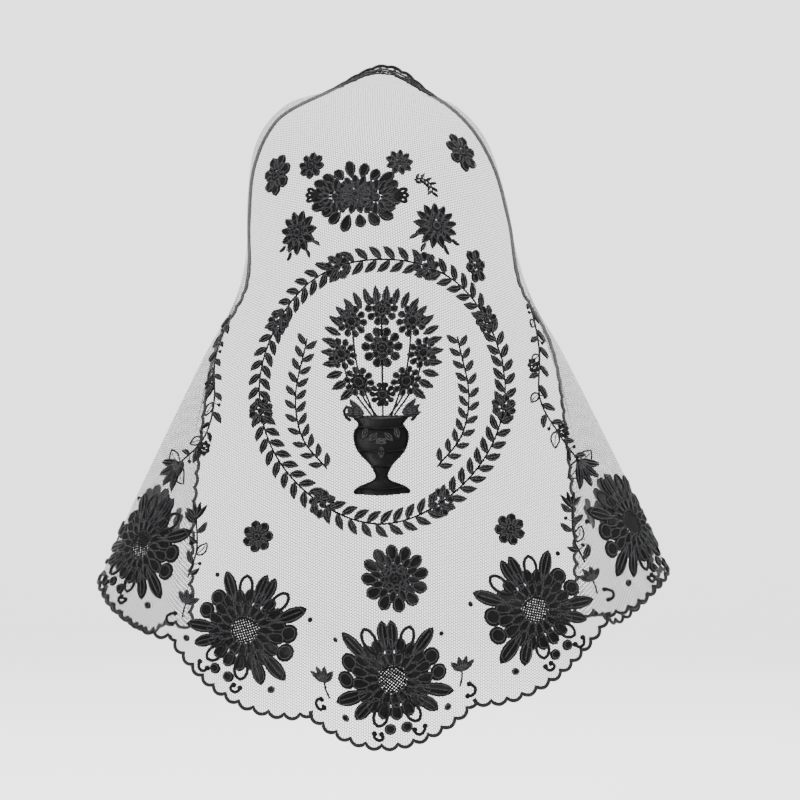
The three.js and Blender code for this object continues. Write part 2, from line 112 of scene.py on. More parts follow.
# The middle line of the back over the head, by degrees from the crown.
BACK_OVER_HEAD = [26, 52, 78]
# Below the head each guide runs to its hem point: share of the way, and of its length out and back.
BACK_HANG = [(0.2, 0, 0.02), (0.45, 0, -0.005), (0.72, 0, -0.01)]
# Over the side of the head: shares of the half width, of the peak's reach and of the head's drop.
RIDGE_OVER_HEAD = [
    (0.33, 0.5, 0.01), (0.62, 0.12, 0.13), (0.83, -0.1, 0.39), (0.93, -0.18, 0.8), (1.0, -0.2, 1.36),
]
RIDGE_HANG = [(0.25, 0.01, 0), (0.5, 0.012, 0), (0.75, 0.01, 0)]
# The front edge past the temple, by the same shares.
FRONT_OVER_HEAD = [
    (0.36, 1.06, -0.02), (0.68, 1.03, 0.18), (0.87, 0.93, 0.5), (0.95, 0.84, 0.9), (1.0, 0.8, 1.35),
]
FRONT_HANG = [(0.15, 0.05, 0.01), (0.3, 0.06, 0.03), (0.6, 0.05, 0.03), (0.8, 0.03, 0.01)]
FRONT_FOLDS = 1.5  # between the side line and the front edge
BACK_FOLDS = 3  # between the middle of the back and the side line
FOLD_ONSET = 0.25  # share of the front half over which its folds begin
# How deep the folds are, in front and behind, by the share of the way down.
FOLD_ROWS = [(0.35, 0, 0), (0.6, 0.01, 0.004), (1.0, 0.024, 0.012)]


def ease(t):
    t = np.clip(t, 0, 1)
    return t * t * (3 - 2 * t)


def fold_share(down, column):
    for (a, *first), (b, *second) in zip(FOLD_ROWS, FOLD_ROWS[1:]):
        if down <= b:
            share = ease((down - a) / (b - a))
            return first[column] * (1 - share) + second[column] * share
    return FOLD_ROWS[-1][1 + column]


def catmull(points, steps=60):
    """A smooth line through the points."""
    points = np.array(points, float)
    before = 2 * points[0] - points[1]
    after = 2 * points[-1] - points[-2]
    knots = np.vstack([before, points, after])
    t = np.linspace(0, 1, steps, endpoint=False)[:, None]
    runs = []
    for p0, p1, p2, p3 in zip(knots, knots[1:], knots[2:], knots[3:]):
        t0, t1 = 0.5 * (p2 - p0), 0.5 * (p3 - p1)
        runs.append(
            p1 + t0 * t + (-3 * p1 + 3 * p2 - 2 * t0 - t1) * t**2 + (2 * p1 - 2 * p2 + t0 + t1) * t**3
        )
    return np.vstack([*runs, points[-1:]])


def distances(points):
    """How far each point of a line is along it."""
    return np.concatenate([[0], np.cumsum(np.linalg.norm(np.diff(points, axis=0), axis=1))])


def unit(vectors):
    return vectors / (np.linalg.norm(vectors, axis=-1, keepdims=True) + TINY)


def points_of(*coordinates):
    return np.stack(coordinates, axis=1)


def resampled(columns, along, at):
    return np.stack([np.interp(at, along, column) for column in columns.T], axis=1)


def evenly(points, steps, measured=3):
    """The same line with points at equal shares of its length, which its first columns measure."""
    along = distances(points[:, :measured])
    return resampled(points, along, np.linspace(0, along[-1], steps + 1))


def guide(over_head, hang, hem, through_peak):
    peak = np.array([0, PEAK_REACH, PEAK_RISE])
    start, hem = np.array(over_head[-1], float), np.array(hem, float)
    length = np.linalg.norm(hem - start)
    below = [start + (hem - start) * way + length * np.array([out, -back, 0]) for way, out, back in hang]
    points = [*over_head, *below, hem]
    other = [np.array(p) * [-1, 1, 1] for p in reversed(points)] if through_peak else []
    line = evenly(catmull([*other, peak, *points]), 2 * GRID_ROWS if through_peak else GRID_ROWS)
    return line[GRID_ROWS:] if through_peak else line


def over_side(table):
    return [(HEAD_HALF_WIDTH * a, PEAK_REACH * b, -HEAD_DROP * c) for a, b, c in table]


def net_sections():
    """Points on the right half of the net: a row for each share of the way down."""
    back_head = [(0, PEAK_REACH / 2, PEAK_RISE * CROWN_CLIMB), (0, 0, 0)]
    for angle in map(radians, BACK_OVER_HEAD):
        back_head.append((0, -HEAD_DEPTH * math.sin(angle), -HEAD_DROP * (1 - math.cos(angle))))
    backs = guide(back_head, BACK_HANG, (0, -BACK_REACH, -BACK_DROP), False)
    hem = (SHOULDER_HALF_WIDTH, -SHOULDER_SETBACK, -SHOULDER_DROP)
    ridges = guide(over_side(RIDGE_OVER_HEAD), RIDGE_HANG, hem, False)
    hem = (FRONT_HALF_GAP, FRONT_REACH, -FRONT_DROP)
    fronts = guide(over_side(FRONT_OVER_HEAD), FRONT_HANG, hem, True)
    share = np.linspace(0, 1, SECTION_STEPS + 1)
    sine, cosine = np.sin(share * pi / 2), np.cos(share * pi / 2)
    rows = []
    for i, (back, ridge, front) in enumerate(zip(backs, ridges, fronts)):
        down = i / GRID_ROWS
        front_fold = fold_share(down, 0) * SHOULDER_HALF_WIDTH
        back_fold = fold_share(down, 1) * SHOULDER_HALF_WIDTH
        rounding = ease((ridge[0] - front[0]) / HEAD_HALF_WIDTH) * SHOULDER_ROUNDING
        behind = points_of(
            ridge[0] * sine,
            ridge[1] + (back[1] - ridge[1]) * cosine,
            back[2] + (ridge[2] - back[2]) * sine**SHOULDER_CLIMB,
        )
        wave = back_fold * np.cos(2 * pi * BACK_FOLDS * share) * ease(1 - share)
        behind += wave[:, None] * points_of(sine, -cosine, 0 * sine)
        ahead = points_of(
            ridge[0] + (front[0] - ridge[0]) * (share + (1 - cosine - share) * rounding),
            ridge[1] + (front[1] - ridge[1]) * (share + (sine - share) * rounding),
            ridge[2] + (front[2] - ridge[2]) * share,
        )
        outward = unit(points_of(cosine, sine * rounding, 0 * sine))
        wave = front_fold * np.sin(2 * pi * FRONT_FOLDS * share) * ease(share / FOLD_ONSET)
        ahead += wave[:, None] * outward
        rows.append(evenly(np.vstack([behind, ahead[1:]]), GRID_COLUMNS))
    return np.array(rows)


SECTIONS = net_sections()
HALF_LENGTHS = np.linalg.norm(np.diff(SECTIONS, axis=1), axis=2).sum(axis=1)
COLUMN_LENGTHS = np.linalg.norm(np.diff(SECTIONS, axis=0), axis=2).sum(axis=0)
HEM_HALF_LENGTH = HALF_LENGTHS[-1]
FALL = COLUMN_LENGTHS[0]


def on_net(places):
    """Points on the net: a place is across, from -1 at the left front edge to 1, and down, from 0 to 1."""
    across, down = places[:, 0], places[:, 1]
    row, col = down * GRID_ROWS, np.abs(across) * GRID_COLUMNS
    i = np.clip(np.floor(row), 0, GRID_ROWS - 1).astype(int)
    j = np.clip(np.floor(col), 0, GRID_COLUMNS - 1).astype(int)
    a, b = (row - i)[:, None], (col - j)[:, None]
    left = SECTIONS[i, j] * (1 - a) + SECTIONS[i + 1, j] * a
    right = SECTIONS[i, j + 1] * (1 - a) + SECTIONS[i + 1, j + 1] * a
    point = left * (1 - b) + right * b
    point[:, 0] *= np.where(across < 0, -1, 1)
    point[:, 2] += SHOULDER_TILT * point[:, 0] / SHOULDER_HALF_WIDTH * ease(down)
    peak_share = ease((1 + point[:, 2] / PEAK_RISE) / 2) * ease(point[:, 1] / PEAK_REACH)
    point[:, 0] -= HEAD_LEAN * ease(1 + point[:, 2] / (LEAN_DEPTH * HEAD_DROP)) * (1 - peak_share)
    return point


def slopes(places):
    """How far the net runs along its row, and down its column, for each share."""
    at = places.copy()
    at[:, 1] = np.maximum(at[:, 1], LEAST_DOWN)
    steps = np.array([[SLOPE_STEP, 0], [0, SLOPE_STEP]])
    return [(on_net(at + step) - on_net(at - step)) / (2 * SLOPE_STEP) for step in steps]


def outwards(places):
    row, column = slopes(places)
    return unit(np.cross(column, row))


class Patch:
    """Where a piece is stitched on the net: u to the right and v up along it, in metres."""

    def __init__(self, piece, across, down, mirrored=False):
        self.piece = piece
        self.place = np.array([across, down])
        row, column = (slope[0] for slope in slopes(self.place[None]))
        out = unit(np.cross(column, row))
        self.right = unit(row)
        self.up = np.cross(out, self.right)
        self.per_v = 1 / column.dot(self.up)
        self.slant = column.dot(self.right)
        self.per_u = 1 / np.linalg.norm(row)
        self.flip = np.array([-1 if mirrored else 1, 1])

    def places(self, uv):
        uv = uv * self.flip
        down = uv[:, 1] * self.per_v
        across = (uv[:, 0] - down * self.slant) * self.per_u
        return self.place + points_of(across, down)

    def angle(self, ahead):
        """The angle on the patch of a direction in space."""
        return math.atan2(ahead.dot(self.up), ahead.dot(self.right) * self.flip[0])


def raised(patch, uv, heights):
    """Points at heights over the net's outer face, and the directions out of it."""
    places = patch.places(np.asarray(uv, float))
    out = outwards(places)
    return on_net(places) + out * (NET_WALL / 2 + heights)[:, None], out


def link_new(name, data):
    obj = bpy.data.objects.new(name, data)
    bpy.context.collection.objects.link(obj)
    return obj


class Piece:
    """The meshes of one piece, with a UV in millimetres along the stitched line and across it."""

    def __init__(self):
        self.points, self.faces, self.uvs, self.count = [], [], [], 0

    def add(self, points, faces, uvs):
        self.points.append(points)
        self.uvs.append(uvs)
        self.faces += [tuple(i + self.count for i in face) for face in faces]
        self.count += len(points)

    def build(self, name, material, slot, *nodes, closed=True):
        mesh = bpy.data.meshes.new(name)
        mesh.from_pydata(np.vstack(self.points).tolist(), [], self.faces)
        corners = np.empty(len(mesh.loops), np.int32)
        mesh.loops.foreach_get("vertex_index", corners)
        layer = mesh.uv_layers.new(name="stitch")
        layer.data.foreach_set("uv", np.vstack(self.uvs)[corners].astype(np.float32).ravel())
        if closed:
            shells = bmesh.new()
            shells.from_mesh(mesh)
            bmesh.ops.recalc_face_normals(shells, faces=shells.faces)
            shells.to_mesh(mesh)
            shells.free()
        mesh.polygons.foreach_set("use_smooth", [True] * len(mesh.polygons))
        mesh.materials.append(material)
        obj = link_new(name, mesh)
        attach(obj, "root")
        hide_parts(*nodes)
        return obj


def grid_faces(rows, length, closed=False):
    """Quads between rows of points of one length."""
    faces = []
    for r in range(rows - 1):
        for i in range(length if closed else length - 1):
            j = (i + 1) % length
            a, b = r * length, (r + 1) * length
            faces.append((a + i, b + i, b + j, a + j))
    return faces


# Shapes of thread.

ACROSS_PAD = np.array([-1, -0.88, -0.5, 0, 0.5, 0.88, 1])
RIDGE_LOW = 0.62  # height of a pad between two of its threads, as a share
WOUND_LOW = 0.86  # the same for a wound cord
BLUNT_END = 0.35  # a pad comes down where it is narrower than this share of its width
PETAL_OVERLAP = 1.45  # width of a rosette's petals, as a share of half their spacing round its rim
PETAL_FOOT = 0.8  # they start at this share of its middle's radius
KNOB_SHARE = 0.75  # and the raised pad covers this share of it
KNOB_HEIGHT = 1.4 * PAD_HEIGHT
BEAD_HEIGHT = 1.5 * PAD_HEIGHT
BERRY_RADIUS = 0.0015
BERRY_ANGLE = 1.2  # radians from the stem
CURL_HALF_TURNS = 1.5
CURL_TIGHTENING = 1.6  # over 1, a tendril winds more tightly towards its knob
SCROLL_HALF_TURNS = 0.62
STEPS_PER_LEAF = 6
LEAF_ANGLE = radians(48)


def direction(angle):
    return np.array([math.cos(angle), math.sin(angle)])


def directions(angles):
    return points_of(np.cos(angles), np.sin(angles))


def leftwards(line):
    """The direction to the left at each point of a flat line."""
    ahead = unit(np.gradient(line, axis=0))
    return points_of(-ahead[:, 1], ahead[:, 0])


def satin(patch, spine, halves, height=PAD_HEIGHT):
    """A closed pad of satin stitch along a line of a patch, with its half widths there."""
    rows = 2 * max(3, round(distances(spine)[-1] / STITCH)) + 1
    line = evenly(np.column_stack([spine, halves]), rows - 1, 2)
    centres, half = line[:, :2], np.maximum(line[:, 2], OUTLINE_RADIUS / 4)
    ridge = np.where(np.arange(rows) % 2, 1, RIDGE_LOW)
    lift = height * ridge * np.minimum(1, half / (BLUNT_END * half.max()))
    across = half[:, None] * ACROSS_PAD
    uv = (centres[:, None] + leftwards(centres)[:, None] * across[:, :, None]).reshape(-1, 2)
    heights = lift[:, None] * np.sqrt(1 - ACROSS_PAD**2) - PAD_SINK
    n = len(ACROSS_PAD)
    faces = grid_faces(rows, n)
    faces += [(r * n, r * n + n - 1, r * n + 2 * n - 1, r * n + n) for r in range(rows - 1)]
    faces += [tuple(range(n)), tuple(range((rows - 1) * n, rows * n))]
    along = np.repeat(distances(centres), n)
    points, _ = raised(patch, uv, heights.ravel())
    patch.piece.add(points, faces, points_of(along, across.ravel()) / MM)


def tube(piece, centres, out, radius, closed=False, sides=6, uv_shift=0):
    """A cord along points, on the net whose outward directions are given."""
    if closed:
        ahead = np.roll(centres, -1, axis=0) - np.roll(centres, 1, axis=0)
    else:
        ahead = np.gradient(centres, axis=0)
    side = unit(np.cross(ahead, out))
    up = unit(np.cross(side, ahead))
    radius = np.broadcast_to(radius, len(centres))[:, None]
    turns = 2 * pi * np.arange(sides) / sides
    rows = [centres + radius * (math.cos(turn) * side + math.sin(turn) * up) for turn in turns]
    n = len(centres)
    faces = [tuple(i % (sides * n) for i in face) for face in grid_faces(sides + 1, n)]
    if closed:
        for k in range(sides):
            here, beside = k * n, (k + 1) % sides * n
            faces.append((here + n - 1, beside + n - 1, beside, here))
    else:
        faces += [tuple(k * n + end for k in range(sides)) for end in (0, n - 1)]
    along = np.tile(distances(centres) / MM, sides)
    piece.add(np.vstack(rows), faces, points_of(along, np.repeat(turns, n) + uv_shift))


def stem(piece, places, closed=False):
    """A stem through places on the net."""
    out = outwards(places)
    tube(piece, on_net(places) + out * (NET_WALL / 2 + 0.5 * STEM_RADIUS), out, STEM_RADIUS, closed)


def cord(patch, line, radius=OUTLINE_RADIUS, closed=False, height=0.0, sides=5):
    """A thread laid along a line of a patch."""
    centres, out = raised(patch, line, np.full(len(line), height + 0.5 * np.max(radius)))
    # Thin outlines get a painted highlight in their base colour, marked by this shift of their UV.
    uv_shift = OUTLINE_UV if radius == OUTLINE_RADIUS else 0
    tube(patch.piece, centres, out, radius, closed, sides, uv_shift)


def ring(centre, a, b, count):
    return np.array(centre) + directions(np.linspace(0, 2 * pi, count, endpoint=False)) * [a, b]


def petal_shape(start, angle, length, width, point, bend):
    """The spine and half widths of a petal, round at its tip where point is 0 and sharp where it is 1."""
    t = np.linspace(0, 1, 12)
    steps = directions(angle + bend * (t - 0.5)) * length / (len(t) - 1)
    spine = np.array(start) + np.vstack([[0, 0], np.cumsum(steps[1:], axis=0)])
    shift = 1.35 - 0.45 * point  # over 1, it is widest past its middle
    slimness = 0.55 + 0.4 * point
    return spine, 0.5 * width * np.sin(pi * t**shift) ** slimness


def outline_of(spine, halves):
    side = leftwards(spine) * halves[:, None]
    return np.vstack([spine + side, (spine - side)[-2:0:-1]])


def open_leaf(patch, start, angle, length, width, point, bend, radius=STEM_RADIUS, height=0.0):
    """Only the outline of a leaf, and its vein."""
    spine, halves = petal_shape(start, angle, length, width, point, bend)
    cord(patch, outline_of(spine, halves), radius, True, height)
    cord(patch, spine[1:-2], height=height)


def petal(patch, start, angle, length, width, point, bend=0.0, vein=True):
    """A pad with a thin thread down its middle, and where it is wide one inside its rim too."""
    spine, halves = petal_shape(start, angle, length, width, point, bend)
    satin(patch, spine, halves)
    if width > LEAST_CONTOURED:
        contour = outline_of(spine[1:-1], CONTOUR_SHARE * halves[1:-1])
        cord(patch, contour, closed=True, height=CONTOUR_HEIGHT, sides=4)
    if vein:
        cord(patch, spine[1:-2], height=PAD_HEIGHT, sides=4)


def wound_cord(patch, line, radius, closed=False):
    """A thick thread with the ridges of the stitches wound over it."""
    line = np.vstack([line, line[:1]]) if closed else np.asarray(line)
    steps = 2 * max(3, round(distances(line)[-1] / STITCH))
    line = evenly(np.column_stack([line, np.broadcast_to(radius, len(line))]), steps, 2)
    line = line[:-1] if closed else line
    ridge = np.where(np.arange(len(line)) % 2, 1, WOUND_LOW)
    centres, out = raised(patch, line[:, :2], 0.5 * line[:, 2])
    tube(patch.piece, centres, out, line[:, 2] * ridge, closed)


def loop_petal(patch, start, angle, length, width, bend=0.0):
    """An open petal: only its thick outline, with the net inside."""
    spine, halves = petal_shape(start, angle, length - LOOP_RADIUS, width - 2 * LOOP_RADIUS, 0, bend)
    wound_cord(patch, outline_of(spine, halves), LOOP_RADIUS, closed=True)


def disc(patch, centre, radius, angle=0.0, height=PAD_HEIGHT):
    t = np.linspace(-1, 1, 13)
    spine = np.array(centre) + radius * t[:, None] * direction(angle)
    satin(patch, spine, radius * np.sqrt(1 - t**2), height)
    if 2 * radius > LEAST_CONTOURED:
        reach = CONTOUR_SHARE * radius
        cord(patch, ring(centre, reach, reach, 14), closed=True, height=CONTOUR_HEIGHT, sides=4)


def lattice(patch, centre, radius, tall):
    """Crossed threads in an open middle."""
    for angle in (radians(45), radians(135)):
        along, side = direction(angle), direction(angle + pi / 2)
        for offset in np.arange(-radius + LATTICE_PITCH / 2, radius, LATTICE_PITCH):
            half = math.sqrt(max(radius**2 - offset**2, 0))
            line = side * offset + along * np.linspace(-half, half, 6)[:, None]
            cord(patch, np.array(centre) + line * [1, tall], LATTICE_RADIUS, sides=4)


def rosette(patch, centre, radius, petals, middle, tall=1.0, turn=0.0, point=0.3):
    """Petals about a raised middle, whose radius is a share of the whole one."""
    width = PETAL_OVERLAP * pi * radius / petals
    for i in range(petals):
        way = direction(turn + 2 * pi * i / petals) * [1, tall]
        length = np.linalg.norm(way) * radius * (1 - PETAL_FOOT * middle)
        start = np.array(centre) + way * radius * PETAL_FOOT * middle
        petal(patch, start, math.atan2(way[1], way[0]), length, width, point, vein=False)
    disc(patch, centre, radius * middle * KNOB_SHARE, height=KNOB_HEIGHT)


def beads(patch, centre, radius, count, size, tall=1.0):
    for i in range(count):
        at = np.array(centre) + direction(2 * pi * i / count) * [radius, radius * tall]
        disc(patch, at, size, height=BEAD_HEIGHT)


def curl(patch, start, angle, size, hand):
    """A tendril that winds up to a knob."""
    t = np.linspace(0, 1, 18)
    turn = angle + hand * t**CURL_TIGHTENING * CURL_HALF_TURNS * pi
    steps = directions(turn) * (0.11 * size * (1 - 0.55 * t))[:, None]
    line = np.array(start) + np.cumsum(steps, axis=0)
    wound_cord(patch, line, LOOP_RADIUS * (1 - 0.25 * t))
    disc(patch, line[-1], 1.7 * LOOP_RADIUS)


def scroll(patch, middle, angle, size, hand):
    """A thick cord in a deep curve, with a knob at each end."""
    turn = np.linspace(-SCROLL_HALF_TURNS, SCROLL_HALF_TURNS, 14) * pi
    line = np.array(middle) + 0.5 * size * directions(turn + angle)
    line[-4:] += 0.2 * size * direction(angle + hand * pi / 2) * np.linspace(0, 1, 4)[:, None]
    wound_cord(patch, line, LOOP_RADIUS)
    for end in (line[0], line[-1]):
        disc(patch, end, 1.5 * LOOP_RADIUS)


def steps_along(line, pitch, closed):
    """Places at equal steps along a smooth line through some places, a few for each pitch."""
    smooth = catmull(np.array([*line, line[0]] if closed else line), 40)
    along = distances(on_net(smooth))
    pitches = max(2, round(along[-1] / pitch))
    return resampled(smooth, along, np.linspace(0, along[-1], STEPS_PER_LEAF * pitches + 1))


def patch_along(piece, places, k):
    """A patch at a step of a line of places, and the line's angle on it."""
    patch = Patch(piece, *places[k])
    return patch, patch.angle(*(on_net(places[k + 1 : k + 2]) - on_net(places[k : k + 1])))


def garland(line, leaf, pitch, closed=False):
    """A stem with even pairs of leaves."""
    piece, places = Piece(), steps_along(line, pitch, closed)
    stem(piece, places[:-1] if closed else places, closed)
    for k in range(2, len(places) - 1, STEPS_PER_LEAF):
        patch, way = patch_along(piece, places, k)
        for hand in (-1, 1):
            foot = direction(way) * hand * leaf / 8
            petal(patch, foot, way + hand * LEAF_ANGLE, leaf, 0.44 * leaf, 1, -hand * 0.5)
    return piece


def vine(line, leaf, pitch, seed, blossoms):
    """A stem with uneven leaves on both sides in turn, every fourth one open, berries and blossoms."""
    random = np.random.default_rng(seed)
    piece, places = Piece(), steps_along(line, pitch, False)
    stem(piece, places)
    for i, k in enumerate(range(1, len(places) - 1, STEPS_PER_LEAF // 2)):
        patch, way = patch_along(piece, places, k)
        hand = 1 if i % 2 else -1
        length = leaf * random.uniform(0.85, 1.25)
        angle = way + hand * LEAF_ANGLE * random.uniform(0.8, 1.25)
        bend = -hand * random.uniform(0.3, 0.9)
        if i % 4 == 2:
            open_leaf(patch, (0, 0), angle, length, 0.55 * length, 0.9, bend)
        else:
            petal(patch, (0, 0), angle, length, 0.42 * length, 1, bend)
        if i % 3 == 1:
            out = direction(way - hand * BERRY_ANGLE)
            cord(patch, [0 * out, out * 0.4 * leaf])
            disc(patch, out * 0.5 * leaf, BERRY_RADIUS)
    for i, share in enumerate(blossoms):
        patch, way = patch_along(piece, places, int(share * len(places)))
        out = direction(way + (1 if i % 2 else -1) * pi / 2) * 0.5 * leaf
        rosette(patch, out, 0.55 * leaf, 7, 0.35, point=0.4)
    end_blossom(*patch_along(piece, places, len(places) - 2), leaf, bool(blossoms))
    return piece


def end_blossom(patch, way, leaf, large):
    """The bell of petals at a vine's end, and a large one's two open petals beside it."""
    length = (2.1 if large else 1.2) * leaf
    for spread in (-0.75, -0.25, 0.25, 0.75):
        petal(patch, (0, 0), way + spread, length, 0.3 * length, 0.8, 0.4 * spread)
    for hand in (-1, 1) if large else ():
        open_leaf(patch, (0, 0), way + 1.3 * hand, 0.8 * length, 0.4 * length, 0.9, hand)


# Materials.

THREAD_DARK = (0.001, 0.001, 0.0011, 1)
THREAD_LIGHT = (0.005, 0.005, 0.0056, 1)
# A painted highlight: the paler base colour of the spots that stand in for glints on the thin outlines.
OUTLINE_PAINTED_HIGHLIGHT = (0.06, 0.06, 0.063, 1)
THREAD_GLOSS = 0.12
STITCH_BUMP = 0.0003
NET_COLOUR = (0.012, 0.012, 0.013, 1)
NET_GLOSS = 0.35
NET_ROUGHNESS = 0.6
# The mesh's three waves sum to -1.5 where its threads meet, and to -1 half way between.
THREAD_RIM = -0.68  # the sum at which a thread begins
THREAD_CORE = -0.92  # and at which it is opaque


def new_material(name):
    material = bpy.data.materials.new(name)
    material.use_nodes = True
    return material, material.node_tree, material.node_tree.nodes["Principled BSDF"]


def feed(node, inputs):
    """Fills a node's inputs: a socket is linked, and a plain value is set."""
    for name, value in inputs.items():
        if isinstance(value, bpy.types.NodeSocket):
            node.id_data.links.new(value, node.inputs[name])
        else:
            node.inputs[name].default_value = value
    return node


def add_node(tree, kind, inputs):
    return feed(tree.nodes.new(f"ShaderNode{kind}"), inputs)


def maths(tree, operation, *values):
    node = tree.nodes.new("ShaderNodeMath")
    node.operation = operation
    return feed(node, dict(enumerate(values))).outputs[0]


def stitch_uv(tree):
    """The piece's UV in millimetres, and its two parts."""
    uv = tree.nodes.new("ShaderNodeUVMap")
    uv.uv_map = "stitch"
    parts = add_node(tree, "SeparateXYZ", {0: uv.outputs[0]})
    return uv.outputs[0], parts.outputs[0], parts.outputs[1]


def thread_material(name, stitch_mm, twist, roughness):
    """Glossy black thread, with fine stitches along the first UV and a painted highlight, paler spots in
    the base colour, on the outlines.
    """
    material, tree, shader = new_material(name)
    vector, along, around = stitch_uv(tree)
    noise = add_node(tree, "TexNoise", {"Vector": vector, "Scale": 0.7, "Detail": 3}).outputs["Fac"]
    ramp = add_node(tree, "ValToRGB", {0: noise})
    ramp.color_ramp.elements[0].color = THREAD_DARK
    ramp.color_ramp.elements[1].color = THREAD_LIGHT
    # Painted highlight: noise picks the spots on the outlines whose base colour is mixed towards the paler
    # one.
    painted_glint = add_node(tree, "MapRange", {"Value": noise, "From Min": 0.42, "From Max": 0.62, "To Min": 0.15})
    outline = maths(tree, "GREATER_THAN", around, OUTLINE_UV / 2)
    share = maths(tree, "MULTIPLY", outline, painted_glint.outputs[0])
    colour = tree.nodes.new("ShaderNodeMix")
    colour.data_type = "RGBA"
    feed(colour, {"Factor": share, "A": ramp.outputs[0], "B": OUTLINE_PAINTED_HIGHLIGHT})
    rough = {"Value": noise, "To Min": roughness - 0.1, "To Max": roughness + 0.15}
    phase = maths(tree, "MULTIPLY", along, 2 * pi / stitch_mm)
    phase = maths(tree, "ADD", phase, maths(tree, "MULTIPLY", around, twist))
    height = maths(tree, "ADD", maths(tree, "SINE", phase), maths(tree, "MULTIPLY", noise, 1.2))
    bump = add_node(tree, "Bump", {"Strength": 0.7, "Distance": STITCH_BUMP, "Height": height})
    feed(shader, {
        "Base Color": colour.outputs["Result"],
        "Roughness": add_node(tree, "MapRange", rough).outputs[0],
        "Normal": bump.outputs[0],
        "Specular IOR Level": THREAD_GLOSS,
    })
    return material


def net_material():
    """Tulle: black threads round open hexagons."""
    material, tree, shader = new_material("net_tulle")
    _, x, y = stitch_uv(tree)
    waves = []
    for angle in map(radians, (0, 60, 120)):
        turns = 2 * pi / (MESH_PITCH / MM)
        along_x = maths(tree, "MULTIPLY", x, turns * math.cos(angle))
        along_y = maths(tree, "MULTIPLY", y, turns * math.sin(angle))
        waves.append(maths(tree, "COSINE", maths(tree, "ADD", along_x, along_y)))
    total = maths(tree, "ADD", maths(tree, "ADD", waves[0], waves[1]), waves[2])
    cover = add_node(tree, "MapRange", {"Value": total, "From Min": THREAD_RIM, "From Max": THREAD_CORE})
    feed(shader, {
        "Alpha": cover.outputs[0],
        "Base Color": NET_COLOUR,
        "Roughness": NET_ROUGHNESS,
        "Specular IOR Level": NET_GLOSS,
    })
    return material


EMBROIDERY = thread_material("embroidery_thread", stitch_mm=0.27, twist=0.0, roughness=0.34)
CORD = thread_material("edge_cord", stitch_mm=1.3, twist=1.0, roughness=0.4)
NET = net_material()


# The net and its edge.

NET_FACET = 0.0042
HEM_REFINEMENT = 3  # times as many facets along the hem, which follow its lobes
PAST_HEM = 1.02  # the flat pattern runs on this far past the hem
FLAT_REACH = 0.3  # about how far the edge lies from the middle of the flat net
EDGE_STEPS = 1200  # along the hem and each half of the front edge
STEPS_PER_SCALLOP = 10
SCALLOP_BLUNTNESS = 0.7
# The net just inside the hem and the front edge, which turns at the peak.
INSIDE_HEM = [0.995, 0.97]
INSIDE_FRONT = 0.98
INSIDE_PEAK = 0.03
PEAK_TURN = 0.0625
# The cords inside the front edge: how far inside, and how far down they run.
FRONT_CORDS = [(0.006, 0.42), (0.0115, 0.42), (0.017, 0.13)]
CORD_FADE = 0.06  # over this share of the way down a cord runs out into the edge
KNOT_LENGTH = 0.0046  # a leaf between two cords
KNOT_RADIUS = 0.0012
KNOT_SLANT = 0.5
KNOT_FULLNESS = 1.05  # over 1, its ends are blunt


def hem_down(across):
    along = across * HEM_HALF_LENGTH - LOBE_SHIFT
    lobe = np.abs(np.cos(pi * along / LOBE_PITCH)) ** LOBE_BLUNTNESS
    corner = ease((np.abs(across) - 1 + CORNER_SHARE) / CORNER_SHARE) ** 2
    return 1 - (LOBE_DEPTH * (1 - lobe) * (1 - corner) + CORNER_CUT * corner) / FALL


def flat(places):
    """Millimetres on the flat net, for the size of its mesh."""
    across, down = places[:, 0], np.clip(places[:, 1], 0, PAST_HEM)
    half = np.interp(down, np.linspace(0, 1, GRID_ROWS + 1), HALF_LENGTHS)
    fall = np.interp(np.abs(across), np.linspace(0, 1, GRID_COLUMNS + 1), COLUMN_LENGTHS)
    return points_of(across * half, down * fall) / MM


def edge_line():
    """Points of the net's edge, their directions out of and into the net, and their places.

    They run along the hem and then up and down the front edge, evenly, with whole scallops.
    """
    share = np.linspace(0, 1, EDGE_STEPS, endpoint=False)
    tip = hem_down(np.array([1.0]))[0]
    hem = points_of(2 * share - 1, hem_down(2 * share - 1))
    right = points_of(np.ones(EDGE_STEPS), tip * (1 - share))
    left = points_of(-np.ones(EDGE_STEPS), tip * share)
    places = np.vstack([hem, right, left])
    inner = places.copy()
    inner[:EDGE_STEPS] *= INSIDE_HEM
    inner[EDGE_STEPS:, 0] *= INSIDE_FRONT * ease(places[EDGE_STEPS:, 1] / PEAK_TURN)
    inner[EDGE_STEPS:, 1] = np.maximum(inner[EDGE_STEPS:, 1], INSIDE_PEAK)
    line = np.hstack([on_net(places), on_net(inner), places])
    line = np.vstack([line, line[:1]])
    along = distances(line[:, :3])
    scallops = round(along[-1] / SCALLOP_PITCH)
    at = np.linspace(0, along[-1], scallops * STEPS_PER_SCALLOP, endpoint=False)
    points, inside, places = np.split(resampled(line, along, at), [3, 6], axis=1)
    ahead = unit(np.roll(points, -2, axis=0) - np.roll(points, 2, axis=0))
    out = unit(np.cross(ahead, inside - points))
    return points, out, np.cross(out, ahead), places


def net_rows():
    """Rows of places from the peak to the hem, with even steps of about one facet."""
    total = int(FALL / NET_FACET)
    rows = []
    for k in range(total + 1):
        share = k / total
        length = np.interp(share, np.linspace(0, 1, GRID_ROWS + 1), HALF_LENGTHS)
        half = max(1, math.ceil(length / NET_FACET)) * (HEM_REFINEMENT if k == total else 1)
        across = np.linspace(-1, 1, 2 * half + 1) if k else np.array([0.0])
        rows.append(points_of(across, share * hem_down(across)))
    return rows


def triangles_between(rows):
    """Triangles that join rows of unequal length, stepping along whichever row lags behind."""
    faces, above = [], 0
    for a, b in zip(map(len, rows), map(len, rows[1:])):
        below = above + a
        i = j = 0
        while i < a - 1 or j < b - 1:
            first = j == b - 1 or (i < a - 1 and (i + 1) / (a - 1) <= (j + 1) / (b - 1))
            faces.append((above + i, below + j, above + i + 1 if first else below + j + 1))
            i, j = (i + 1, j) if first else (i, j + 1)
        above = below
    return faces


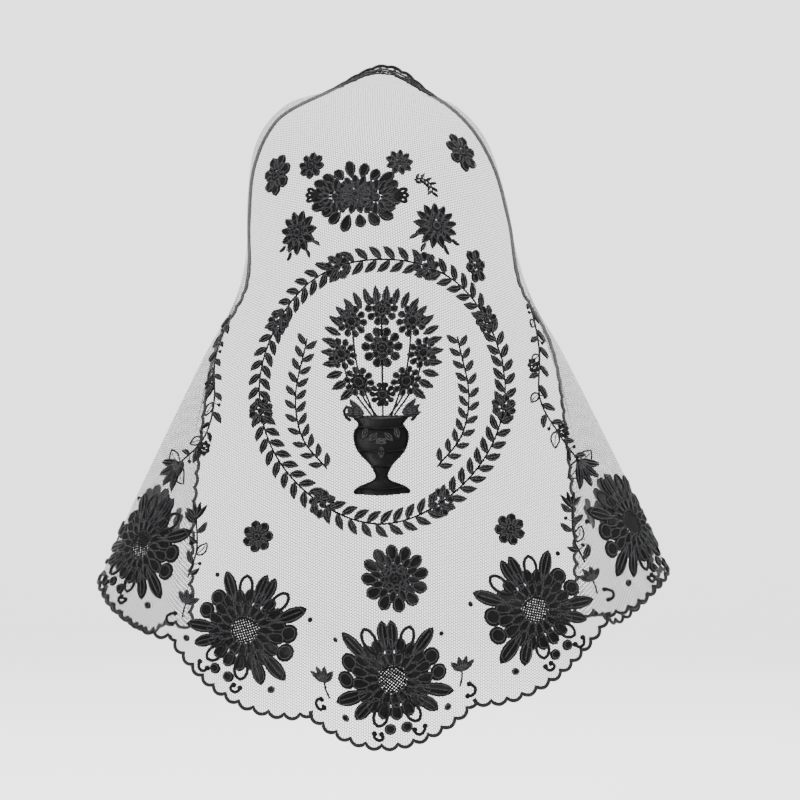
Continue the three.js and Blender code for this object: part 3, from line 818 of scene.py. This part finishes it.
def build_net():
    piece, rows = Piece(), net_rows()
    places = np.vstack(rows)
    outer = on_net(places) + outwards(places) * NET_WALL / 2
    piece.add(outer, triangles_between(rows), flat(places))
    points, out, inwards, edge_places = EDGE
    base = points + out * NET_WALL / 2
    reach = scallop_reach(len(points))
    margin = np.vstack([base, base - inwards * reach[:, None]])
    stretch = 1 + reach[:, None] / FLAT_REACH
    uvs = np.vstack([flat(edge_places), flat(edge_places) * stretch])
    piece.add(margin, grid_faces(2, len(points), True), uvs)
    return piece.build("net_veil", NET, "net_tulle", "net_ground", closed=False)


def scallop_reach(count):
    phase = (np.arange(count) % STEPS_PER_SCALLOP) / STEPS_PER_SCALLOP
    return EDGE_OVERHANG + SCALLOP_DEPTH * np.sin(pi * phase) ** SCALLOP_BLUNTNESS


def build_edge():
    """The thick cord along the scallops, and thin ones with leaves between inside the front edge."""
    piece = Piece()
    points, out, inwards, places = EDGE
    reach = scallop_reach(len(points))
    centres = points + out * NET_WALL - inwards * reach[:, None]
    tube(piece, centres, out, CORD_RADIUS, closed=True, sides=8)
    front = np.arange(len(points)) > STEPS_PER_SCALLOP
    outer = 0
    for inset, down in FRONT_CORDS:
        run = np.flatnonzero(front & (places[:, 1] < down))
        inset = inset * ease((down - places[:, 1:]) / CORD_FADE)
        line = points + inwards * (inset - reach[:, None] / 2)
        tube(piece, settled(line[run], out[run], STEM_RADIUS), out[run], STEM_RADIUS)
        middle = points + inwards * (0.5 * (outer + inset) - reach[:, None] / 4)
        for k in run[STEPS_PER_SCALLOP // 2 :: STEPS_PER_SCALLOP]:
            if places[k, 1] <= down - CORD_FADE:
                knot(piece, middle[k], points[k + 1] - points[k - 1], inwards[k], out[k])
        outer = inset
    return piece.build("scallop_cord", CORD, "edge_cord", "scalloped_edge")


def settled(line, out, radius):
    """Points moved onto the net's outer face, and out by a cord's radius."""
    nearest = np.array([NET_TREE.find_nearest(Vector(point))[0] for point in line])
    return nearest + out * radius


def knot(piece, centre, ahead, inwards, out):
    """A small raised leaf across the space between two cords."""
    t = np.linspace(-1, 1, 7)
    line = centre + KNOT_LENGTH / 2 * t[:, None] * (inwards + KNOT_SLANT * unit(ahead))
    outs = np.tile(out, (len(t), 1))
    radius = KNOT_RADIUS * np.sqrt(KNOT_FULLNESS - t**2)
    tube(piece, settled(line, outs, OUTLINE_RADIUS), outs, radius)


EDGE = edge_line()
net_piece = build_net()
net_corners = [vertex.co for vertex in net_piece.data.vertices]
NET_TREE = BVHTree.FromPolygons(net_corners, [tuple(face.vertices) for face in net_piece.data.polygons])
edge_piece = build_edge()


# The embroidery.


def embroider(node, piece):
    piece.build(f"{node}_stitched", EMBROIDERY, "embroidery_thread", node)


# A large flower's outer ring on one side: kind of petal, degrees from straight up, start, length and
# width by shares of the flower's radius, and bend.
OUTER_RING = [
    ("long", 5, 0.52, 0.6, 0.25, 0.3),
    ("loop", 27, 0.52, 0.55, 0.33, 0.2),
    ("long", 50, 0.5, 0.74, 0.28, 0.0),
    ("disc", 72, 0.66, 0.36, 0.36, 0.0),
    ("disc", 95, 0.72, 0.34, 0.34, 0.0),
    ("long", 116, 0.5, 0.74, 0.27, 0.0),
    ("long", 136, 0.52, 0.58, 0.25, -0.3),
    ("loop", 157, 0.48, 0.50, 0.31, 0.0),
    ("disc", 171, 0.84, 0.22, 0.22, 0.0),
    ("disc", 130, 1.16, 0.14, 0.14, 0.0),
    ("disc", 60, 1.20, 0.10, 0.10, 0.0),
]

# Its inner rings, by the same shares: how many petals, turn, start, length, width and point.
INNER_RINGS = [
    (18, 0.5, 0.42, 0.38, 0.25, 0.0),
    (16, 0.0, 0.22, 0.36, 0.2, 0.3),
]
# Its netted middle.
MIDDLE_LOW = 0.05
MIDDLE_TALL = 0.9
LATTICE_HALF = 0.29
RIM_HALF = 0.3
BEAD_RING = 0.36
BEAD_COUNT = 22
BEAD_SIZE = 0.04


def large_flower(patch, radius):
    """A hem flower: a netted middle low down, close petals round it and an outer ring of mixed ones."""
    for hand in (-1, 1):
        for kind, degrees, start, length, width, bend in OUTER_RING:
            angle = radians(90 - hand * degrees)
            foot = start * radius * direction(angle)
            length, width = length * radius, width * radius
            if kind == "long":
                petal(patch, foot, angle, length, width, 0.2, hand * bend)
            elif kind == "loop":
                loop_petal(patch, foot, angle, length, width, hand * bend)
            else:
                disc(patch, foot + 0.5 * length * direction(angle), 0.5 * width, angle)
    for count, turn, start, length, width, point in INNER_RINGS:
        for angle in (2 * pi * (i + turn) / count for i in range(count)):
            foot = start * radius * direction(angle)
            petal(patch, foot, angle, length * radius, width * radius, point, vein=False)
    low = np.array([0, -MIDDLE_LOW * radius])
    rim = ring(low, RIM_HALF * radius, MIDDLE_TALL * RIM_HALF * radius, 30)
    lattice(patch, low, LATTICE_HALF * radius, MIDDLE_TALL)
    cord(patch, rim, STEM_RADIUS, True, sides=6)
    beads(patch, low, BEAD_RING * radius, BEAD_COUNT, BEAD_SIZE * radius, MIDDLE_TALL)


SPRAY_LEAF = 0.012
SPRAY_TILT = 14  # degrees away from the flower


def hem_spray(patch, foot, hand):
    """A bell of four petals between two hem flowers, with its stem and a scroll."""
    for lean in (-48, -16, 16, 48):
        angle = radians(90 - lean - hand * SPRAY_TILT)
        petal(patch, foot, angle, SPRAY_LEAF, 0.4 * SPRAY_LEAF, 0.9)
    root = foot - [hand * 0.1 * FLOWER_RADIUS, 0.26 * FLOWER_RADIUS]
    cord(patch, [root, (foot + root) / 2 + [hand * STEM_RADIUS, 0], foot], STEM_RADIUS, sides=6)
    middle = root + np.array([hand * 0.17, -0.16]) * FLOWER_RADIUS
    scroll(patch, middle, radians(90 - hand * 110), 0.2 * FLOWER_RADIUS, hand)


def hem_flower(side):
    across = (side * LOBE_PITCH + LOBE_SHIFT) / HEM_HALF_LENGTH
    foot = Patch(None, across, hem_down(np.array([across]))[0])
    middle = FLOWER_RADIUS + FLOWER_CLEARANCE + EDGE_WIDTH
    patch = Patch(Piece(), across, foot.places(np.array([[0, middle]]))[0, 1], mirrored=side < 0)
    large_flower(patch, FLOWER_RADIUS)
    for hand in (-1, 1):
        middle = np.array([hand * 0.36, -1.05]) * FLOWER_RADIUS
        scroll(patch, middle, radians(90 - hand * 175), 0.17 * FLOWER_RADIUS, hand)
    for hand in (-1, 1) if side == 0 else (1,):
        hem_spray(patch, np.array([hand * 1.33, -0.24]) * FLOWER_RADIUS, hand)
    return patch.piece


def hem_flowers():
    for side in range(-2, 3):
        hand = "left" if side < 0 else "right"
        name = "hem_flower_middle" if side == 0 else f"hem_flower_{hand}_{abs(side)}"
        embroider(name, hem_flower(side))


# Flowers: where across and down, their radius by a large one's, how tall by wide, and how many petals.
FLOWERS = [
    ("star_flower", 0.088, 0.315, 0.28, 1, 9),
    ("crown_flower_right", 0.183, 0.398, 0.47, 1, 13),
    ("crown_flower_left", -0.272, 0.408, 0.45, 1, 11),
    ("top_flower_left", -0.215, 0.318, 0.28, 1, 8),
    ("temple_flower_left", -0.37, 0.329, 0.39, 1.1, 7),
    ("temple_flower_right", 0.345, 0.297, 0.37, 1.2, 7),
    ("side_bud_right", 0.315, 0.457, 0.26, 1.4, 6),
    ("back_blossom_left", -0.267, 0.8, 0.32, 1, 7),
    ("back_blossom_right", 0.275, 0.8, 0.32, 1, 7),
    ("corner_flower_right", 0.91, 0.8, 0.33, 1, 7),
    ("corner_flower_left", -0.91, 0.8, 0.33, 1, 7),
]
# Full ones, as tall as wide.
FULL_FLOWERS = [
    ("lower_flower", 0.026, 0.81, 0.66, 12),
    ("front_flower_right", 0.76, 0.85, 0.68, 12),
    ("front_flower_left", -0.76, 0.85, 0.68, 12),
]


def small_flower(across, down, size, tall, count):
    """Two rings of petals with beads. Those of many petals are pointed, and the fullest have leaves too."""
    patch = Patch(Piece(), across, down, mirrored=across < 0)
    radius = size * FLOWER_RADIUS
    sharp = count > 8
    if count > 10:
        for degrees in (-75, -45, 200, 230):
            foot = 0.85 * radius * direction(radians(degrees))
            petal(patch, foot, radians(degrees), 0.5 * radius, 0.18 * radius, 1, 0.6)
    rosette(patch, (0, 0), radius, count, 0.32, tall, point=0.9 if sharp else 0.1)
    beads(patch, (0, 0), 0.26 * radius, 7, 0.07 * radius, tall)
    inner, turn = (0.62, 0.3) if sharp else (0.7, pi / count)
    rosette(patch, (0, 0), inner * radius, count - 4 * sharp, 0.4, tall, turn, 0.6 * sharp)
    return patch.piece


def full_flower(across, down, size, count):
    """Three rings of petals with beads."""
    patch = Patch(Piece(), across, down, mirrored=across < 0)
    radius = size * FLOWER_RADIUS
    rosette(patch, (0, 0), radius, count, 0.6, point=0.1)
    rosette(patch, (0, 0), 0.72 * radius, count, 0.55, turn=pi / count, point=0.6)
    rosette(patch, (0, 0), 0.44 * radius, 8, 0.35, point=0.2)
    beads(patch, (0, 0), 0.16 * radius, 8, 0.035 * radius)
    return patch.piece


def crown_spray():
    """An oval of round petals about three flowers."""
    patch = Patch(Piece(), -0.066, 0.358)
    radius, tall, petals = 0.93 * FLOWER_RADIUS, 0.62, 20
    for i in range(petals):
        way = direction(2 * pi * (i + 0.5) / petals) * [1, tall]
        size = (0.3, 0.36, 0.42)[i % 3] * radius
        angle = math.atan2(way[1], way[0])
        petal(patch, 0.62 * radius * way, angle, size, 0.24 * radius, 0.1, vein=False)
    for hand in (-1, 1):
        centre = np.array([hand * 0.42, -0.02]) * radius
        rosette(patch, centre, 0.42 * radius, 12, 0.3, 0.95, point=0.1)
        beads(patch, centre, 0.12 * radius, 8, 0.03 * radius)
    rosette(patch, (0, 0.04 * radius), 0.46 * radius, 13, 0.35, 0.95, turn=0.2)
    rosette(patch, (0, 0.04 * radius), 0.27 * radius, 8, 0.4, 1)
    for hand in (-1, 1):
        foot = np.array([hand * 0.8, 0]) * radius
        for lean in (62, 90, 118):
            loop_petal(patch, foot, radians(90 - hand * lean), 0.32 * radius, 0.17 * radius)
    return patch.piece


# Leafy stems, by the places that they pass, across and down.
STEMS = {
    "crown_tendril": [(0.13, 0.338), (0.16, 0.337), (0.185, 0.345), (0.187, 0.358)],
    "side_vine_left": [(-0.6, 0.545), (-0.55, 0.61), (-0.48, 0.665), (-0.47, 0.72), (-0.52, 0.775)],
    "side_vine_right": [(0.58, 0.53), (0.5, 0.6), (0.44, 0.66), (0.46, 0.72), (0.49, 0.775)],
    "hem_sprig_left": [(-0.395, 0.9), (-0.395, 0.86), (-0.42, 0.82)],
    "hem_sprig_right": [(0.415, 0.9), (0.41, 0.86), (0.43, 0.82)],
    "urn_sprig_left": [(-0.13, 0.69), (-0.2, 0.66), (-0.23, 0.61), (-0.215, 0.54)],
    "urn_sprig_right": [(0.13, 0.69), (0.2, 0.66), (0.23, 0.61), (0.215, 0.54)],
}
LEAF_LENGTH = 0.011
LEAF_PITCH = 0.0095
SIDE_BLOSSOMS = (0.42, 0.8)  # shares of the way along a side vine
WREATH_HALF_ACROSS = 0.35
WREATH_HALF_DOWN = 0.155
WREATH_DOWN = 0.59
WREATH_STEPS = 24
WREATH_ROSES = 8
WREATH_ROSE = 0.0105


def on_wreath(share):
    turn = 2 * pi * share
    return WREATH_HALF_ACROSS * math.cos(turn), WREATH_DOWN - WREATH_HALF_DOWN * math.sin(turn)


def wreath():
    line = [on_wreath(i / WREATH_STEPS) for i in range(WREATH_STEPS)]
    piece = garland(line, 1.2 * LEAF_LENGTH, LEAF_PITCH, closed=True)
    for i in range(WREATH_ROSES):
        rosette(Patch(piece, *on_wreath((i + 0.5) / WREATH_ROSES)), (0, 0), WREATH_ROSE, 8, 0.35)
    return piece


# The urn's heights over its foot and half widths there, as shares of a large flower's radius.
URN = [
    (0.0, 0.5), (0.13, 0.44), (0.32, 0.12), (0.57, 0.2),
    (0.84, 0.48), (1.13, 0.56), (1.33, 0.46), (1.46, 0.6),
]
URN_DOWN = 0.712
URN_HEIGHT = 1.3 * PAD_HEIGHT
URN_BANDS = [0.13, 0.57, 0.84, 1.28]
BAND_HEIGHT = 1.2 * PAD_HEIGHT
URN_HANDLE = 0.013
URN_LEAF = 0.008
RELIEF_HEIGHT = 1.25 * PAD_HEIGHT


def urn():
    patch = Patch(Piece(), 0, URN_DOWN)
    profile = catmull([(0, 0), *URN], 8)[8:] * FLOWER_RADIUS
    satin(patch, points_of(0 * profile[:, 0], profile[:, 0]), profile[:, 1], URN_HEIGHT)
    outline = np.vstack([profile[:, ::-1], (profile * [1, -1])[::-1, ::-1]])
    cord(patch, outline, STEM_RADIUS, True, sides=6)
    for band in URN_BANDS:
        half = np.interp(band * FLOWER_RADIUS, profile[:, 0], profile[:, 1])
        line = points_of(np.linspace(-half, half, 9), np.full(9, band * FLOWER_RADIUS))
        cord(patch, line, STEM_RADIUS, height=BAND_HEIGHT)
    rim = np.array([0.6, 1.36]) * FLOWER_RADIUS
    for hand in (-1, 1):
        curl(patch, rim * [hand, 1], radians(90 - hand * 70), URN_HANDLE, hand)
        for k in range(3):
            foot = np.array([hand * (0.1 + 0.13 * k), 1.0 + 0.04 * k]) * FLOWER_RADIUS
            relief_leaf(patch, foot, radians(90 + hand * (70 - 25 * k)))
    relief_leaf(patch, np.array([0, 0.72]) * FLOWER_RADIUS, radians(90))
    return patch.piece


def relief_leaf(patch, foot, angle):
    """A leaf in outline over the urn's own stitches."""
    open_leaf(patch, foot, angle, URN_LEAF, 0.45 * URN_LEAF, 0.8, 0, OUTLINE_RADIUS, RELIEF_HEIGHT)


# Roses: where on the bouquet's patch, and their radius.
ROSES = [
    (0, 0.031, 0.0125), (-0.022, 0.021, 0.012), (0.022, 0.021, 0.012),
    (0, 0.004, 0.015), (-0.029, -0.003, 0.0115), (0.029, -0.003, 0.0115),
    (-0.016, -0.021, 0.011), (0.016, -0.021, 0.011), (0, -0.029, 0.009),
]
BOUQUET_DOWN = 0.545
BOUQUET_REACH = (0.031, 0.034)
BOUQUET_LEAVES = 26
BOUQUET_FAN = (-50, 280)  # degrees at which its leaves begin, and how far they go round
BOUQUET_LEAF = 0.014


def bouquet():
    """Roses in a fan of leaves, on stems from the urn's mouth."""
    patch = Patch(Piece(), 0, BOUQUET_DOWN)
    begin, span = BOUQUET_FAN
    for i in range(BOUQUET_LEAVES):
        angle = radians(begin + span * i / (BOUQUET_LEAVES - 1))
        start = direction(angle) * BOUQUET_REACH
        petal(patch, start, angle, BOUQUET_LEAF, 0.42 * BOUQUET_LEAF, 1)
    mouth = np.array([0, URN_DOWN - BOUQUET_DOWN]) * -FALL + [0, (URN[-1][0] + 0.06) * FLOWER_RADIUS]
    for u, v, _ in ROSES:
        head, foot = np.array([u, v]), mouth + [0.25 * u, 0]
        bulge = 0.5 * (head + foot) + [0.15 * u, 0]
        cord(patch, catmull([foot, bulge, head], 6), STEM_RADIUS, sides=6)
    for hand in (-1, 1):
        start = mouth + [hand * 0.012, 0.001]
        for angle in (radians(90 - hand * lean) for lean in (50, 75, 100)):
            petal(patch, start, angle, BOUQUET_LEAF, 0.36 * BOUQUET_LEAF, 1, hand * 0.5)
    for u, v, radius in ROSES:
        rosette(patch, (u, v), radius, 10, 0.55, point=0.1)
        rosette(patch, (u, v), 0.6 * radius, 7, 0.4, turn=0.4, point=0.1)
    return patch.piece


hem_flowers()
for flower_name, *sizes in FLOWERS:
    embroider(flower_name, small_flower(*sizes))
for flower_name, *sizes in FULL_FLOWERS:
    embroider(flower_name, full_flower(*sizes))
embroider("crown_spray", crown_spray())
for seed, (stem_name, stem_line) in enumerate(STEMS.items()):
    if "urn" in stem_name:
        embroider(stem_name, garland(stem_line, LEAF_LENGTH, LEAF_PITCH))
    elif "crown" in stem_name:
        embroider(stem_name, garland(stem_line, 0.5 * LEAF_LENGTH, 0.4 * LEAF_PITCH))
    else:
        blossoms = SIDE_BLOSSOMS if "side" in stem_name else ()
        embroider(stem_name, vine(stem_line, LEAF_LENGTH, 1.6 * LEAF_PITCH, seed, blossoms))
embroider("wreath", wreath())
embroider("urn", urn())
embroider("bouquet", bouquet())


# The stage.

FLOOR_Z = -0.62
FLOOR_RADIUS = 2.9
BEND_RADIUS = 1.5
WALL_TOP = 1.0
FLOOR_COLOUR = (0.88, 0.88, 0.88, 1)
SKY_STRENGTH = 1.35
PICTURE_WIDTH = 0.00074 * 800  # metres for each pixel of the photo, and its pixels
PICTURE_MIDDLE = (0.0126, -0.231)
CAMERA_DISTANCE = 2.4
SENSOR_WIDTH = 36
# Lights: place, what it points at, size in metres and power in watts.
LIGHTS = [
    ("key", (-1.2, -2.2, 1.3), (0, 0, -0.2), 0.4, 140),
    ("fill", (2.2, -1.6, 0.5), (0, 0, -0.2), 1.2, 40),
    ("overhead", (0, 0.3, 2.6), (0, 0.3, 0), 3.0, 260),
]


def studio_floor():
    """A round pale floor that bends up into a wall all round."""
    profile = [(FLOOR_RADIUS, FLOOR_Z)]
    for turn in np.linspace(0, pi / 2, 13)[1:]:
        out, up = math.sin(turn), 1 - math.cos(turn)
        profile.append((FLOOR_RADIUS + BEND_RADIUS * out, FLOOR_Z + BEND_RADIUS * up))
    profile.append((FLOOR_RADIUS + BEND_RADIUS, WALL_TOP))
    turns = 2 * pi * np.arange(64) / 64
    points = [(r * math.cos(turn), r * math.sin(turn), z) for r, z in profile for turn in turns]
    faces = grid_faces(len(profile), len(turns), closed=True)
    faces.append(tuple(range(len(turns))))
    mesh = bpy.data.meshes.new("floor")
    mesh.from_pydata(points, [], faces)
    mesh.polygons.foreach_set("use_smooth", [True] * len(mesh.polygons))
    material, _, shader = new_material("pale_floor")
    feed(shader, {"Base Color": FLOOR_COLOUR, "Roughness": 0.9})
    mesh.materials.append(material)
    obj = link_new("floor", mesh)


def area_light(name, place, target, size, power):
    light = bpy.data.lights.new(name, "AREA")
    light.shape = "SQUARE"
    light.size = size
    light.energy = power
    obj = link_new(name, light)
    obj.location = place
    way = np.array(target, float) - np.array(place, float)
    obj.rotation_euler = Vector(way).to_track_quat("-Z", "Y").to_euler()


def camera():
    data = bpy.data.cameras.new("camera")
    data.sensor_width = SENSOR_WIDTH
    data.lens = SENSOR_WIDTH * CAMERA_DISTANCE / PICTURE_WIDTH
    obj = link_new("camera", data)
    x, z = PICTURE_MIDDLE
    obj.location = (x, -CAMERA_DISTANCE, z)
    obj.rotation_euler = (radians(90), 0, 0)
    bpy.context.scene.camera = obj


def world():
    sky = bpy.data.worlds.new("soft_studio")
    sky.use_nodes = True
    feed(sky.node_tree.nodes["Background"], {"Color": (1, 1, 1, 1), "Strength": SKY_STRENGTH})
    bpy.context.scene.world = sky


studio_floor()
world()
camera()
for light in LIGHTS:
    area_light(*light)
